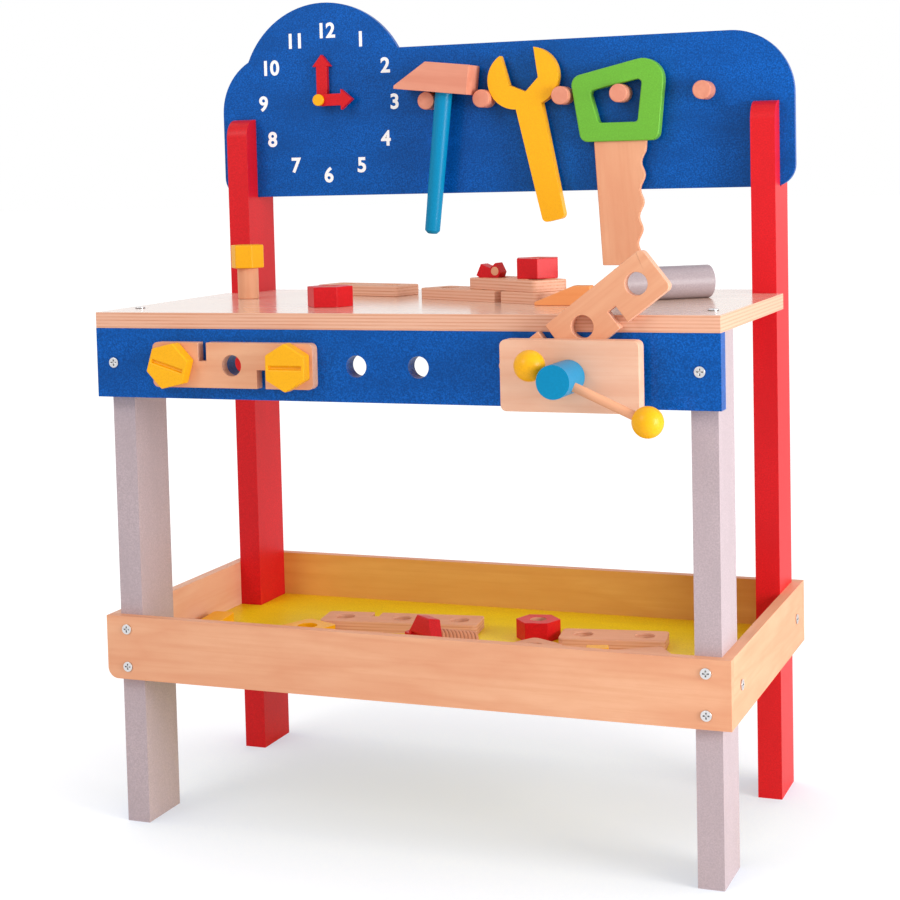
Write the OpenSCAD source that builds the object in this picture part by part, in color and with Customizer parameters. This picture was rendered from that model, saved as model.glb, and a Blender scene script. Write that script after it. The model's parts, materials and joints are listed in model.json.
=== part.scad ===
// Toy workbench with a tool board, a clock, a screw vise, a storage tray and loose wooden hardware.
// Millimetres, +Z up, the front of the bench faces -Y, origin on the floor at the centre of the box.

/* [Bench] */
// Width of the tabletop
bench_w = 560; // [520:1:600]
// Height of the work surface above the floor
work_h = 464; // [440:1:500]
// Thickness of the tabletop
top_t = 14; // [11:0.5:18]
// Depth of the tabletop from its front edge to the back posts
top_d = 250; // [235:1:290]
// Overhang of the tabletop beyond the legs at each side
top_overhang = 6; // [2:0.5:8]

/* [Legs and posts] */
// Width of a leg or post, seen from the front
leg_w = 22; // [18:0.5:26]
// Depth of a leg or post, front to back
leg_d = 56; // [50:0.5:64]
// Height of the back posts above the work surface
post_rise = 173; // [166:1:216]
// Radius of the rounded edges on top of a back post
post_round_r = 18; // [6:0.5:20]

/* [Apron] */
// Height of the front apron
apron_h = 61; // [58:0.5:72]
// Thickness of the front apron
apron_t = 15; // [10:0.5:18]
// Diameter of the holes in the apron and the strips
hole_d = 18.5; // [18:0.1:21]
// Distance between neighbouring holes
hole_pitch = 56; // [52:0.5:58]
// Distance from the left end of the apron to its first hole
first_hole = 82.5; // [72:0.5:90]
// Distance of the tabletop screws behind the front of the legs
top_screw_setback = 34; // [20:1:46]

/* [Tray] */
// Thickness of the tray rails
rail_t = 9.5; // [8:0.5:12]
// Height of the tray rails
rail_h = 57; // [48:0.5:70]
// Height of the underside of the tray above the floor
tray_z = 133.5; // [100:0.5:180]
// Thickness of the tray floor panel
tray_floor_t = 6; // [4:0.5:8]
// Depth of the tray, from the rim down to the floor panel
tray_depth = 43; // [36:0.5:45]
// Depth of the groove that holds the floor panel
groove_depth = 3; // [2:0.5:4]
// Radius of the lower left front corner of the tray
tray_corner_r = 10; // [2:0.5:12]

/* [Tool board] */
// Width of the board
board_w = 576; // [572:1:620]
// Height of the straight part of the board
board_h = 142.5; // [130:0.5:160]
// Thickness of the board
board_t = 6; // [4:0.5:9]
// Depth of the slots in the posts that hold the board
board_slot_depth = 77.5; // [60:0.5:100]
// Distance from the front of the posts to the face of the board
board_setback = 21.5; // [19:0.5:24]
// Radius of the upper corners of the board
board_top_r = 58; // [30:1:64]
// Radius of the lower corners of the board
board_low_r = 20; // [6:1:28]
// Radius of the clock dome
dome_r = 90; // [80:1:100]
// Distance of the dome's centre from the left end of the board
dome_inset = 112.5; // [108:0.5:130]
// Height of the dome's centre above the lower edge of the board
dome_rise = 100; // [88:0.5:112]

/* [Clock] */
// Height of the clock's centre above the lower edge of the board
clock_rise = 94; // [84:0.5:98]
// Diameter of the clock pin's shank
clock_pin_d = 6; // [4:0.5:8]
// Diameter of the clock pin's head
clock_head_d = 11.5; // [9:0.5:16]
// Thickness of the clock pin's head
clock_head_t = 3.5; // [2:0.5:6]
// Thickness of a clock hand
hand_t = 6; // [4:0.5:8]
// Width of a clock hand's shaft
hand_w = 11.5; // [9:0.5:14]
// Width of a clock hand's arrowhead
arrow_w = 20; // [16:0.5:24]
// Length of a clock hand's arrowhead
arrow_l = 12; // [8:0.5:15]
// Reach of the minute hand from the clock's centre
minute_reach = 45; // [38:0.5:56]
// Reach of the hour hand from the clock's centre
hour_reach = 35; // [30:0.5:44]

/* [Tool pegs] */
// Diameter of the pegs
peg_d = 17; // [14:0.5:18]
// Diameter of the tenon that holds a peg in the board
peg_tenon_d = 12; // [8:0.5:13]
// Length of a peg in front of the board
peg_out = 21; // [18:0.5:26]
// Height of the pegs above the lower edge of the board
peg_rise = 89; // [80:0.5:96]
// Distance from the left end of the board to the first peg
first_peg = 228; // [224:0.5:232]
// Distance between the two pegs of a pair
pair_gap = 56; // [54:0.5:58]
// Distance from one pair of pegs to the next
next_gap = 78; // [75:0.5:80]

/* [Hammer] */
// Height of the hammer head
hammer_head_h = 28; // [22:0.5:32]
// Depth of the hammer head, front to back
hammer_head_d = 31; // [24:0.5:34]
// Length of the head on the striking side of the handle
hammer_face_l = 28.5; // [22:0.5:29]
// Length of the head on the wedge side of the handle
hammer_wedge_l = 46; // [38:0.5:50]
// Length of the sloping part of the wedge
hammer_slope_l = 30; // [20:0.5:34]
// Diameter of the handle under the head
hammer_handle_d = 16.6; // [14:0.2:18]
// Diameter of the handle at its lower end
hammer_end_d = 14.6; // [12:0.2:16]
// Length of the handle below the head
hammer_handle_l = 135; // [110:1:150]
// Depth of the handle's socket in the head
hammer_seat = 20; // [12:0.5:24]
// Lean of the hanging hammer, in degrees
hammer_lean = 6.5; // [5.5:0.1:8]

/* [Wrench] */
// Thickness of the wrench
wrench_t = 10; // [7:0.5:12]
// Radius of the two lobes of the jaw
lobe_r = 27.5; // [26:0.5:30]
// Distance of each lobe's centre from the middle of the wrench
lobe_offset = 7.5; // [6:0.5:10]
// Width of the jaw opening at the tips
jaw_gap = 34; // [28:0.5:36]
// Length from the jaw's centre to the end of the handle
wrench_l = 137; // [115:1:150]
// Width of the wrench handle at its neck
wrench_neck_w = 26; // [22:0.5:30]
// Width of the wrench handle at its end
wrench_end_w = 22; // [18:0.5:28]
// Lean of the hanging wrench, in degrees
wrench_lean = 12; // [8:0.5:14]

/* [Saw] */
// Thickness of the saw handle
saw_handle_t = 11; // [10:0.5:13]
// Thickness of the saw blade
saw_blade_t = 5; // [4:0.5:6]
// Width of the saw handle at its lower edge
saw_handle_w = 74; // [72:0.5:76]
// Height of the saw handle on its low side
saw_handle_h = 60.5; // [58:0.5:63]
// Rise of the saw handle's top from its low side to its high side
saw_rise = 20.5; // [17:0.5:24]
// Radius of the saw handle's high corner
saw_top_r = 20; // [12:0.5:22]
// Width of the bars around the opening of the saw handle
saw_bar = 17.5; // [16:0.5:19]
// Depth of the slot that holds the blade
blade_seat = 8; // [5:0.5:12]
// Width of the saw blade at the handle
saw_blade_w = 50; // [46:0.5:54]
// Width of the saw blade at its tip
saw_tip_w = 37; // [32:0.5:42]
// Length of the saw blade below the handle
saw_blade_l = 115; // [100:1:130]
// Pitch of the wavy teeth
tooth_pitch = 25; // [20:0.5:30]

/* [Vise] */
// Distance of the vise screw from the right end of the apron
vise_inset = 116; // [108:0.5:130]
// Distance of the vise screw below the middle of the apron
vise_drop = 2.5; // [0:0.5:3]
// Width of the vise jaw
vise_jaw_w = 114.5; // [100:0.5:118]
// Height of the vise jaw
vise_jaw_h = 57.5; // [50:0.5:58]
// Thickness of the vise jaw
vise_jaw_t = 15; // [13:0.5:18]
// Radius of the jaw's corners
vise_jaw_r = 5; // [2:0.5:8]
// Diameter of the vise screw
screw_d = 12; // [10:0.5:12.5]
// Length of the vise screw behind the apron
screw_tail_l = 32; // [28:0.5:44]
// Pitch of the vise screw's thread
screw_pitch = 5; // [4:0.5:6]
// Diameter of the knob
knob_d = 27; // [24:0.5:32]
// Length of the knob
knob_l = 41; // [30:0.5:46]
// Distance from the front of the knob to the handle's axis
handle_setback = 17; // [9:0.5:20]
// Diameter of the handle rod
handle_d = 7.5; // [6:0.25:9]
// Distance between the centres of the two balls
handle_l = 103; // [90:0.5:120]
// Diameter of the balls
ball_d = 25; // [22:0.5:30]
// Depth of the holes in the balls
ball_seat = 16; // [12:0.5:18]
// Angle of the handle below level, in degrees
handle_angle = 24; // [0:1:60]
// Diameter of the guide pins
guide_d = 8; // [6:0.5:8.5]
// Distance of each guide pin from the screw, sideways
guide_x = 20; // [18:0.5:22]
// Distance of the guide pins below the screw
guide_drop = 16; // [15:0.5:18]
// Depth of the guide pins' holes in the jaw
guide_seat = 8; // [5:0.5:10]

/* [Strips] */
// Width of a construction strip
strip_w = 39; // [36:0.5:40]
// Thickness of a construction strip
strip_t = 10; // [8.5:0.5:11]
// Distance from the last hole to the end of a strip
strip_end = 20.5; // [18:0.5:21]
// Width of the slots in a strip
slot_w = 8; // [6:0.5:10]
// Depth of the slots in a strip
slot_depth = 16; // [10:0.5:18]
// Radius of a strip's corners
strip_r = 5; // [2:0.5:8]
// Length of the plain plate in the tray
plate_l = 80; // [70:1:90]
// Length of the yellow block in the tray
block_l = 22; // [20:0.5:27]

/* [Bolts and nuts] */
// Width across the flats of the large nuts and bolt heads
hex_af = 36; // [32:0.5:37]
// Thickness of the large nuts
nut_h = 18; // [14:0.5:20]
// Diameter of the large nuts' holes
nut_bore = 15; // [12:0.5:17]
// Thickness of the apron bolts' heads
bolt_head_t = 12.5; // [10:0.5:16]
// Diameter of the apron bolts' shanks
bolt_d = 17; // [15:0.5:17.5]
// Length of the apron bolts' shanks
bolt_shank_l = 46; // [40:1:48]
// Pitch of the apron bolts' threads
bolt_pitch = 4; // [2.5:0.25:5]
// Depth of the wooden threads
thread_depth = 1.2; // [0.6:0.1:1.4]
// Width of the screwdriver slots
driver_slot_w = 3; // [2:0.5:4]
// Width across the flats of the small bolts' heads
small_af = 28; // [26:0.5:30]
// Thickness of the small bolts' heads
small_head_h = 22; // [16:0.5:24]
// Diameter of the small bolts' shanks
small_shank_d = 20; // [16:0.5:22]
// Length of the small bolts' shanks
small_shank_l = 29.5; // [26:0.5:33]
// Thickness of the small nut
small_nut_h = 14.5; // [12:0.5:16]
// Diameter of the small nut's hole
small_nut_bore = 14; // [12:0.5:17]

/* [Other loose pieces] */
// Length of the wing nut
wing_l = 25; // [24:0.5:28]
// Height of the wing nut
wing_h = 13.5; // [12.5:0.5:15]
// Thickness of the wing nut
wing_t = 12; // [9:0.5:14]
// Diameter of the wing nut's plug
plug_d = 8; // [6:0.5:9]
// Length of the wedge
wedge_l = 50; // [44:0.5:56]
// Length of the wedge's slope
wedge_slope_l = 35; // [28:0.5:40]
// Height of the wedge
wedge_h = 17; // [11:0.5:18]
// Height of the wedge's blunt tip
wedge_tip_h = 3; // [1.5:0.5:5]
// Depth of the wedge, front to back
wedge_d = 12; // [9:0.5:14]
// Diameter of the grey cylinder
cylinder_d = 29; // [26:0.5:32]
// Length of the grey cylinder
cylinder_l = 88; // [80:1:94]
// Length of the yellow bar
bar_l = 20; // [16:0.5:22]
// Width of the yellow bar
bar_w = 13; // [10:0.5:14]

/* [Metal screws] */
// Diameter of the screw heads
metal_head_d = 9; // [8:0.5:12]
// Height of the screw heads
metal_head_h = 1.2; // [0.8:0.1:2]
// Width of the cross in the screw heads
cross_w = 1.2; // [0.8:0.1:1.6]
// Diameter of the screw shanks
metal_shank_d = 4; // [3:0.5:5]
// Length of the screw shanks
metal_shank_l = 30; // [24:1:31]
// Distance of the tray screws from the upper and lower edges of the rails
screw_edge = 11.5; // [8:0.5:14]

/* [Hidden] */

$fn = 64;

// Clearances
fit_gap = 0.3;     // between loose or moving pieces that lie close
run_gap = 0.05;    // radial clearance of a turning or sliding shaft
glue_gap = 0.02;   // radial clearance of a glued dowel
clamp_gap = 0.2;   // between the clamped strip and each face that holds it
cut_extra = 1;     // how far a cutting shape passes the face it cuts

// Plan of the bench
leg_x = bench_w / 2 - top_overhang;
post_h = work_h + post_rise;
floor_z = tray_z + rail_h - tray_depth;
top_z = work_h - top_t;
apron_z = top_z - apron_h;
apron_mid_z = apron_z + apron_h / 2;
vise_gap = strip_t + 2 * clamp_gap;
back_reach = top_d + leg_d + rail_t + metal_head_h;
knob_front = vise_gap + vise_jaw_t + fit_gap + knob_l;
handle_out = knob_front - handle_setback;
front_reach = max(knob_front, handle_out + ball_d / 2);
front_y = (front_reach - back_reach) / 2;
post_y = front_y + top_d;
leg_y = front_y + apron_t;
tray_back_y = post_y + leg_d;

// Plan of the tool board
board_z = post_h - board_slot_depth;
board_y = post_y + board_setback;
clock_x = -board_w / 2 + dome_inset;
clock_z = board_z + clock_rise;
peg_z = board_z + peg_rise;
function peg_x(i) =
    -board_w / 2 + first_peg + floor((i + 1) / 2) * pair_gap + floor(i / 2) * next_gap;

// The wrench hangs with its two lobes on the second and third pegs
seat_r = lobe_r + peg_d / 2 + fit_gap;
seat_h = next_gap / 2 - lobe_offset * cos(wrench_lean);
seat_k = lobe_offset * sin(wrench_lean);
seat_ratio = seat_k / seat_h;
seat_z = sqrt((seat_r * seat_r - seat_h * seat_h - seat_k * seat_k) / (1 + seat_ratio * seat_ratio));
wrench_x = (peg_x(1) + peg_x(2)) / 2 + seat_ratio * seat_z;
wrench_z = peg_z + seat_z;

// How far the back of each hanging tool is in front of the board
hammer_out = 3;
wrench_out = 5;
saw_out = 4;

// Vise
vise_x = bench_w / 2 - vise_inset;
vise_z = apron_mid_z - vise_drop;
jaw_back_y = front_y - vise_gap;
jaw_front_y = jaw_back_y - vise_jaw_t;
handle_y = front_y - handle_out;
handle_slide = handle_l / 2 - (ball_d + knob_d) / 2 - fit_gap;
clamp_angle = 37.5;
clamp_along = 29;
clamp_up = (screw_d + strip_w) / 2 + fit_gap;
clamp_x = vise_x + clamp_along * cos(clamp_angle) - clamp_up * sin(clamp_angle);
clamp_z = vise_z + clamp_along * sin(clamp_angle) + clamp_up * cos(clamp_angle);

// Holes of the apron, counted from the left
function apron_hole_x(i) = -bench_w / 2 + first_hole + i * hole_pitch;
strip_hole = 1;
left_bolt_turn = -17;
bolt_tail_l = bolt_shank_l - strip_t - apron_t - fit_gap;

// Places of loose pieces, behind the front edge and from the left end, the right end or the
// middle of the tabletop, each with a turn in degrees
function from_left(at) = [at.x - bench_w / 2, at.y];
function from_right(at) = [bench_w / 2 - at.x, at.y];

// On the tabletop
standing_bolt_at = [64, 173];
standing_bolt_turn = 12;
table_nut_at = [192, 80];
table_nut_turn = 11;
table_short_at = [164, 230];
table_short_turn = -15;
table_long_at = [36, 158];
table_long_turn = -27;
wedge_at = [97, 94];
cylinder_at = [90, 172];
cylinder_turn = 38;

// The upper strip on the long one, and the nuts on the upper strip
upper_strip_at = [25.5, 7.5];
upper_strip_turn = -7;
stacked_nut_at = [11.3, 14.3];
stacked_nut_turn = 21;
wing_nut_at = [-33, -4];
wing_nut_turn = 22;

// In the tray
tray_long_at = [204, 198];
tray_long_turn = 8;
tray_bolt_at = [-10, 106.5];
tray_bolt_turn = 52;
tray_small_nut_at = [-31.5, 138];
tray_small_nut_turn = 20;
tray_near_at = [62, 111];
tray_near_turn = 61;
tray_nut_at = [60, 199];
tray_nut_turn = 12;
tray_short_at = [134.5, 191];
tray_short_turn = 9;
plate_at = [163, 125.5];
plate_turn = 32.5;
yellow_strip_from_long = [-87, -77];
yellow_strip_turn = 65;
yellow_bar_at = [132.3, 145.8];
yellow_bar_turn = 16;
yellow_block_at = [27.5, 157];
yellow_block_turn = 6;

// A rectangle around the origin with round corners
module rounded_rect(w, h, r) {
    square([w - 2 * r, h], center = true);
    square([w, h - 2 * r], center = true);
    for (sx = [-1, 1], sy = [-1, 1])
        translate([sx * (w / 2 - r), sy * (h / 2 - r)])
            circle(r);
}

function unit(v) = v / norm(v);
function turned(v, angle) =
    [v.x * cos(angle) - v.y * sin(angle), v.x * sin(angle) + v.y * cos(angle)];

// The points of one rounded corner at p, between its neighbours a and b
corner_steps = 10;
function rounded_corner(p, a, b, r) =
    let (
        u = unit(a - p),
        v = unit(b - p),
        half = acos(u * v) / 2,
        centre = p + unit(u + v) * r / sin(half),
        start = p + u * r / tan(half) - centre,
        sweep = sign(cross(v, u)) * (180 - 2 * half)
    )
        [for (k = [0 : corner_steps]) centre + turned(start, sweep * k / corner_steps)];

// A convex outline whose corners are rounded, each with its own radius
module rounded_polygon(points, radii) {
    n = len(points);
    polygon([for (i = [0 : n - 1])
        each rounded_corner(points[i], points[(i + n - 1) % n], points[(i + 1) % n], radii[i])]);
}

// Turns a shape drawn in the XY plane upright: its +Y becomes +Z and its +Z becomes -Y
module upright(at) {
    translate(at)
        rotate([90, 0, 0])
            children();
}

module hexagon(af, h) {
    cylinder(d = af / cos(30), h = h, $fn = 6);
}

// A wooden thread: a shank with round V grooves, from z = 0 up
module threaded_shank(d, l, pitch) {
    turns = floor(l / pitch - 0.5);
    rotate_extrude()
        polygon(concat(
            [[0, 0], [d / 2 - thread_depth, 0]],
            [for (i = [0 : turns - 1], p = [
                [d / 2, (i + 0.3) * pitch],
                [d / 2, (i + 0.7) * pitch],
                [d / 2 - thread_depth, (i + 1) * pitch]
            ]) p],
            [[d / 2 - thread_depth, l], [0, l]]
        ));
}

// A flat construction strip with holes at its pitch; the three-hole strips also have two slots
module strip(holes) {
    length = (holes - 1) * hole_pitch + 2 * strip_end;
    linear_extrude(strip_t)
        difference() {
            rounded_rect(length, strip_w, strip_r);
            for (i = [0 : holes - 1])
                translate([(i - (holes - 1) / 2) * hole_pitch, 0])
                    circle(d = hole_d);
            if (holes == 3)
                for (side = [-1, 1])
                    translate([
                        (side * hole_pitch - slot_w) / 2,
                        side < 0 ? strip_w / 2 - slot_depth : -strip_w / 2 - cut_extra
                    ])
                        square([slot_w, slot_depth + cut_extra]);
        }
}

// Puts a loose piece on the tabletop or on the tray floor
module on_top(at, turn, lift = 0) {
    translate([at.x, front_y + at.y, work_h + lift])
        rotate([0, 0, turn])
            children();
}

module in_tray(at, turn, lift = 0) {
    translate([at.x, front_y + at.y, floor_z + lift])
        rotate([0, 0, turn])
            children();
}

// A cross-head screw along -Z with its head above z = 0
module metal_screw() {
    cross_l = metal_head_d * 0.6;
    difference() {
        cylinder(d = metal_head_d, h = metal_head_h);
        for (turn = [0, 90])
            rotate([0, 0, turn])
                translate([-cross_l / 2, -cross_w / 2, metal_head_h / 3])
                    cube([cross_l, cross_w, metal_head_h]);
    }
    translate([0, 0, -metal_shank_l])
        cylinder(d = metal_shank_d, h = metal_shank_l);
}

// The hole that a metal screw needs
module metal_screw_hole() {
    translate([0, 0, -metal_shank_l - cut_extra])
        cylinder(d = metal_shank_d + 2 * glue_gap, h = metal_shank_l + 2 * cut_extra);
}

// Runs its children at each screw of one kind, with the screw's head towards local +Z
module at_apron_screws() {
    for (side = [-1, 1])
        translate([side * (leg_x - leg_w / 2), front_y, apron_mid_z])
            rotate([90, 0, 0])
                children();
}

module at_tabletop_screws() {
    for (side = [-1, 1])
        translate([side * (leg_x - leg_w / 2), leg_y + top_screw_setback, work_h])
            children();
}

module at_rail_screws(side, y, turn) {
    for (z = [tray_z + screw_edge, tray_z + rail_h - screw_edge])
        translate([side * (leg_x - leg_w / 2), y, z])
            rotate([turn, 0, 0])
                children();
}

module at_front_rail_screws() {
    for (side = [-1, 1])
        at_rail_screws(side, leg_y - rail_t, 90)
            children();
}

module at_back_rail_screws() {
    for (side = [-1, 1])
        at_rail_screws(side, tray_back_y + rail_t, -90)
            children();
}

module at_side_screws() {
    for (side = [-1, 1], y = [leg_y + leg_d / 2, post_y + leg_d / 2])
        translate([side * (leg_x + rail_t), y, tray_z + rail_h / 2])
            rotate([0, side * 90, 0])
                children();
}

module front_leg(side) {
    color("silver")
        difference() {
            translate([side > 0 ? leg_x - leg_w : -leg_x, leg_y, 0])
                cube([leg_w, leg_d, top_z]);
            at_apron_screws() metal_screw_hole();
            at_tabletop_screws() metal_screw_hole();
            at_front_rail_screws() metal_screw_hole();
            at_side_screws() metal_screw_hole();
        }
}

// Side view of a back post, X along the depth and Y up, with its two upper edges rounded
module post_outline() {
    square([leg_d, post_h - post_round_r]);
    translate([post_round_r, 0])
        square([leg_d - 2 * post_round_r, post_h]);
    for (x = [post_round_r, leg_d - post_round_r])
        translate([x, post_h - post_round_r])
            circle(post_round_r);
}

module back_post(side) {
    color("red")
        difference() {
            translate([side > 0 ? leg_x - leg_w : -leg_x, post_y, 0])
                rotate([90, 0, 90])
                    linear_extrude(leg_w)
                        post_outline();
            translate([-board_w / 2, board_y, board_z])
                cube([board_w, board_t + fit_gap / 2, post_h]);
            at_back_rail_screws() metal_screw_hole();
            at_side_screws() metal_screw_hole();
        }
}

module tabletop() {
    tongue_w = 2 * (leg_x - leg_w) - fit_gap;
    color("wheat")
        difference() {
            union() {
                translate([-bench_w / 2, front_y, top_z])
                    cube([bench_w, top_d, top_t]);
                translate([-tongue_w / 2, front_y, top_z])
                    cube([tongue_w, top_d + leg_d, top_t]);
            }
            at_tabletop_screws() metal_screw_hole();
        }
}

module front_apron() {
    color("blue")
        difference() {
            translate([-bench_w / 2, front_y, apron_z])
                cube([bench_w, apron_t, apron_h]);
            for (i = [0 : 4])
                upright([apron_hole_x(i), front_y + apron_t + cut_extra, apron_mid_z])
                    cylinder(d = hole_d, h = apron_t + 2 * cut_extra);
            at_vise_screw(apron_t + cut_extra)
                cylinder(d = screw_d + 2 * run_gap, h = apron_t + 2 * cut_extra);
            at_guide_pins(apron_t + cut_extra)
                cylinder(d = guide_d + 2 * run_gap, h = apron_t + 2 * cut_extra);
            at_apron_screws() metal_screw_hole();
        }
}

module board_outline() {
    translate([board_top_r, 0])
        square([board_w - 2 * board_top_r, board_h]);
    translate([board_low_r, 0])
        square([board_w - 2 * board_low_r, board_h - board_top_r]);
    translate([0, board_low_r])
        square([board_w, board_h - board_top_r - board_low_r]);
    for (x = [board_top_r, board_w - board_top_r])
        translate([x, board_h - board_top_r])
            circle(board_top_r);
    for (x = [board_low_r, board_w - board_low_r])
        translate([x, board_low_r])
            circle(board_low_r);
    translate([dome_inset, dome_rise])
        circle(dome_r, $fn = 128);
}

module back_board() {
    color("blue")
        difference() {
            upright([-board_w / 2, board_y + board_t, board_z])
                linear_extrude(board_t)
                    board_outline();
            for (i = [0 : 4])
                upright([peg_x(i), board_y + board_t + cut_extra, peg_z])
                    cylinder(d = peg_tenon_d + 2 * glue_gap, h = board_t + 2 * cut_extra);
            upright([clock_x, board_y + board_t + cut_extra, clock_z])
                cylinder(d = clock_pin_d + 2 * glue_gap, h = board_t + 2 * cut_extra);
        }
}

// Cuts the lower left front corner of the tray to a quarter circle
module tray_corner_cut() {
    outer_x = leg_x + rail_t;
    difference() {
        translate([-outer_x - cut_extra, leg_y - rail_t - cut_extra, tray_z - cut_extra])
            cube([tray_corner_r + cut_extra, 2 * rail_t + 2 * cut_extra, tray_corner_r + cut_extra]);
        upright([-outer_x + tray_corner_r, leg_y + 2 * rail_t, tray_z + tray_corner_r])
            cylinder(r = tray_corner_r, h = 4 * rail_t);
    }
}

// The groove around the tray that holds the floor panel
module floor_groove() {
    translate([-leg_x - groove_depth, leg_y - groove_depth, floor_z - tray_floor_t])
        cube([2 * (leg_x + groove_depth), tray_back_y - leg_y + 2 * groove_depth, tray_floor_t]);
}

module tray_front_rail() {
    color("burlywood")
        difference() {
            translate([-leg_x - rail_t, leg_y - rail_t, tray_z])
                cube([2 * (leg_x + rail_t), rail_t, rail_h]);
            floor_groove();
            tray_corner_cut();
            at_front_rail_screws() metal_screw_hole();
        }
}

module tray_back_rail() {
    color("burlywood")
        difference() {
            translate([-leg_x - rail_t, tray_back_y, tray_z])
                cube([2 * (leg_x + rail_t), rail_t, rail_h]);
            floor_groove();
            at_back_rail_screws() metal_screw_hole();
        }
}

module tray_side_rail(side) {
    color("burlywood")
        difference() {
            translate([side > 0 ? leg_x : -leg_x - rail_t, leg_y, tray_z])
                cube([rail_t, tray_back_y - leg_y, rail_h]);
            floor_groove();
            tray_corner_cut();
            at_side_screws() metal_screw_hole();
        }
}

module tray_floor() {
    edge = 0.1;
    notch_w = leg_w + groove_depth + fit_gap;
    notch_d = leg_d + groove_depth + fit_gap;
    color("gold")
        difference() {
            translate([-leg_x - groove_depth + edge, leg_y - groove_depth + edge, floor_z - tray_floor_t])
                cube([
                    2 * (leg_x + groove_depth - edge),
                    tray_back_y - leg_y + 2 * (groove_depth - edge),
                    tray_floor_t
                ]);
            for (side = [-1, 1], y = [leg_y - groove_depth, tray_back_y + groove_depth - notch_d])
                translate([
                    side > 0 ? leg_x + groove_depth - notch_w : -leg_x - groove_depth,
                    y,
                    floor_z - tray_floor_t - cut_extra
                ])
                    cube([notch_w, notch_d, tray_floor_t + 2 * cut_extra]);
        }
}

module tool_pegs() {
    color("burlywood")
        for (i = [0 : 4]) {
            upright([peg_x(i), board_y + board_t, peg_z])
                cylinder(d = peg_tenon_d, h = board_t + peg_out / 2);
            upright([peg_x(i), board_y - fit_gap, peg_z])
                cylinder(d = peg_d, h = peg_out - fit_gap);
        }
}

module tabletop_screws() {
    color("whitesmoke")
        at_tabletop_screws() metal_screw();
}

module apron_screws() {
    color("whitesmoke")
        at_apron_screws() metal_screw();
}

module tray_rail_screws() {
    color("whitesmoke") {
        at_front_rail_screws() metal_screw();
        at_back_rail_screws() metal_screw();
    }
}

module tray_side_screws() {
    color("whitesmoke")
        at_side_screws() metal_screw();
}

// Room for the clock hands, counted forwards from the board
minute_y = board_y - fit_gap;
hour_y = minute_y - hand_t - fit_gap;
clock_head_y = hour_y - hand_t - fit_gap;

// A clock hand in the XY plane, its pivot at the origin and its point towards +Y
module clock_hand(reach) {
    linear_extrude(hand_t)
        difference() {
            union() {
                circle(d = hand_w);
                translate([-hand_w / 2, 0])
                    square([hand_w, reach - arrow_l]);
                polygon([
                    [-arrow_w / 2, reach - arrow_l],
                    [arrow_w / 2, reach - arrow_l],
                    [0, reach]
                ]);
            }
            circle(d = clock_pin_d + 2 * run_gap);
        }
}

module clock_minute_hand() {
    color("red")
        upright([clock_x, minute_y, clock_z])
            clock_hand(minute_reach);
}

module clock_hour_hand() {
    color("red")
        upright([clock_x, hour_y, clock_z])
            rotate([0, 0, -90])
                clock_hand(hour_reach);
}

module clock_pin() {
    color("gold") {
        upright([clock_x, board_y + board_t, clock_z])
            cylinder(d = clock_pin_d, h = board_y + board_t - clock_head_y + clock_head_t / 2);
        upright([clock_x, clock_head_y, clock_z])
            cylinder(d = clock_head_d, h = clock_head_t);
    }
}

// Runs its children on the vise screw's axis, starting behind the apron's face
module at_vise_screw(behind) {
    upright([vise_x, front_y + behind, vise_z])
        children();
}

module at_guide_pins(behind) {
    for (side = [-1, 1])
        upright([vise_x + side * guide_x, front_y + behind, vise_z - guide_drop])
            children();
}

module vise_jaw() {
    color("burlywood")
        difference() {
            upright([vise_x, jaw_back_y, vise_z])
                linear_extrude(vise_jaw_t)
                    rounded_rect(vise_jaw_w, vise_jaw_h, vise_jaw_r);
            at_vise_screw(0)
                cylinder(d = screw_d + 2 * run_gap, h = knob_front);
            at_guide_pins(0)
                cylinder(d = guide_d + 2 * glue_gap, h = vise_gap + guide_seat);
        }
}

module vise_guide_pins() {
    color("burlywood")
        at_guide_pins(apron_t + screw_tail_l)
            cylinder(d = guide_d, h = screw_tail_l + apron_t + vise_gap + guide_seat - fit_gap);
}

knob_back_y = jaw_front_y - fit_gap;
knob_seat = knob_l - handle_setback - handle_d;
module vise_screw() {
    color("burlywood")
        at_vise_screw(apron_t + screw_tail_l) {
            threaded_shank(screw_d, screw_tail_l + apron_t, screw_pitch);
            translate([0, 0, screw_tail_l + apron_t])
                cylinder(d = screw_d, h = vise_gap + vise_jaw_t + fit_gap + knob_seat);
        }
}

// Runs its children along the vise handle, centred where it crosses the knob's axis
module at_vise_handle() {
    translate([vise_x, handle_y, vise_z])
        rotate([0, 90 + handle_angle, 0])
            children();
}

module vise_knob() {
    color("deepskyblue")
        difference() {
            upright([vise_x, knob_back_y, vise_z])
                cylinder(d = knob_d, h = knob_l);
            upright([vise_x, knob_back_y + cut_extra, vise_z])
                cylinder(d = screw_d + 2 * glue_gap, h = knob_seat + cut_extra);
            at_vise_handle()
                cylinder(d = handle_d + 2 * run_gap, h = 2 * knob_d, center = true);
        }
}

module vise_handle() {
    rod_l = handle_l - ball_d + 2 * (ball_seat - fit_gap);
    color("burlywood")
        at_vise_handle()
            translate([0, 0, handle_slide])
                cylinder(d = handle_d, h = rod_l, center = true);
}

module vise_handle_balls() {
    color("gold")
        at_vise_handle()
            for (side = [-1, 1])
                translate([0, 0, handle_slide + side * handle_l / 2])
                    difference() {
                        sphere(d = ball_d);
                        translate([0, 0, side > 0 ? -ball_d : ball_d / 2 - ball_seat])
                            cylinder(d = handle_d + 2 * glue_gap, h = ball_d / 2 + ball_seat);
                    }
}

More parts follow.
